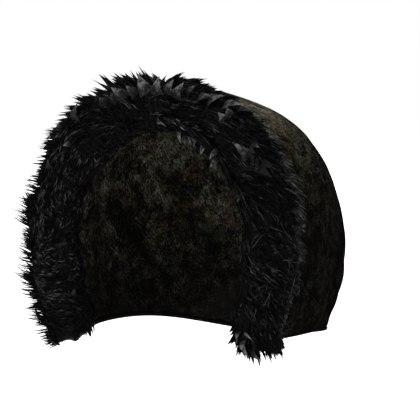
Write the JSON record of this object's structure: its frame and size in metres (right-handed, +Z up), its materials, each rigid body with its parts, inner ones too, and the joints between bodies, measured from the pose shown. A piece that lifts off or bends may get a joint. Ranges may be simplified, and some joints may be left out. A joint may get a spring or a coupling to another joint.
{
  "type": "fur-trimmed hood",
  "caption": "Deep winter hood of printed cloth, sewn from a centre panel and two side panels, lined and hem-bound, with a thick fur ruff round the face opening.",
  "frame": {"origin": "inside of the crown, where the top of the head carries the hood", "axes": "+Z up, the face looks along -Y, +X to the wearer's left"},
  "size_m": [0.3217, 0.3064, 0.2964],
  "materials": {
    "printed_cloth": "matt mottled bark print in dark brown, ochre and lichen grey",
    "lining_cloth": "the same mottled print, matt",
    "hem_binding": "narrow folded band, nearly black",
    "black_fur": "long black pile in glossy clumped locks"
  },
  "bodies": {
    "root": {"centre_panel": "printed_cloth", "left_panel": "printed_cloth", "right_panel": "printed_cloth", "lining": "lining_cloth", "neck_binding": "hem_binding", "fur_ruff": "black_fur"}
  },
  "joints": []
}
